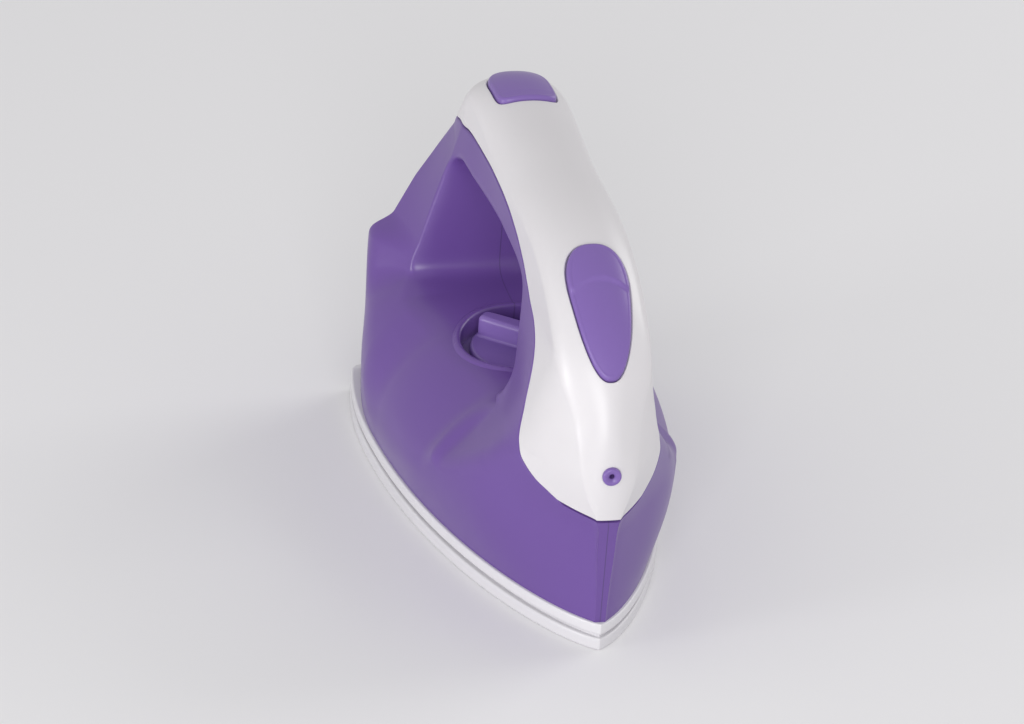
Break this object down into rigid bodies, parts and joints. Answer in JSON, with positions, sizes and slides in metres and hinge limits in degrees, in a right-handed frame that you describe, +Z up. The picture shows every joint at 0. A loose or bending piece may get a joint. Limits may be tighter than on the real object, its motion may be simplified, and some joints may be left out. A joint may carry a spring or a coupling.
{
  "type": "toy iron",
  "caption": "Toy steam iron with a closed handle round a hand hole, a pale top cover, a turning dial on its deck, press buttons and a stepped sole.",
  "frame": {"origin": "middle of the iron's length and width, on the face that rests on the table", "axes": "+X towards the nose, +Z up, +Y to the iron's left; Y = 0 is the parting plane of the body"},
  "size_m": [0.152, 0.0764, 0.106],
  "materials": {
    "purple_plastic": "gloss",
    "pale_plastic": "gloss",
    "silver_plastic": "satin",
    "steel": "plain"
  },
  "bodies": {
    "body": {"soleplate": "silver_plastic", "sole_skirt": "pale_plastic", "body_left": "purple_plastic", "body_right": "purple_plastic", "top_cover": "pale_plastic", "spray_nozzle": "purple_plastic", "steam_button_spring": "steel", "rear_button_spring": "steel", "body_screws": "steel", "sole_screws": "steel"},
    "dial": {"temperature_dial": "purple_plastic", "dial_washer": "steel", "dial_screw": "steel"},
    "steam_button": {"steam_button": "purple_plastic"},
    "rear_button": {"rear_button": "purple_plastic"}
  },
  "joints": [
    {"name": "dial_turn", "type": "hinge", "parent": "body", "child": "dial", "pos_m": [-0.016, 0, 0.0385], "axis": [0, 0, 1], "range_deg": [-130, 130]},
    {"name": "steam_press", "type": "slide", "parent": "body", "child": "steam_button", "axis": [-0.606, 0, -0.7955], "range_m": [0, 0.0025], "stiffness_N_per_m": 300, "springref_m": -0.002, "deforming": ["steam_button_spring"]},
    {"name": "rear_press", "type": "slide", "parent": "body", "child": "rear_button", "axis": [0.121, 0, -0.9927], "range_m": [0, 0.0025], "stiffness_N_per_m": 300, "springref_m": -0.002, "deforming": ["rear_button_spring"]}
  ]
}
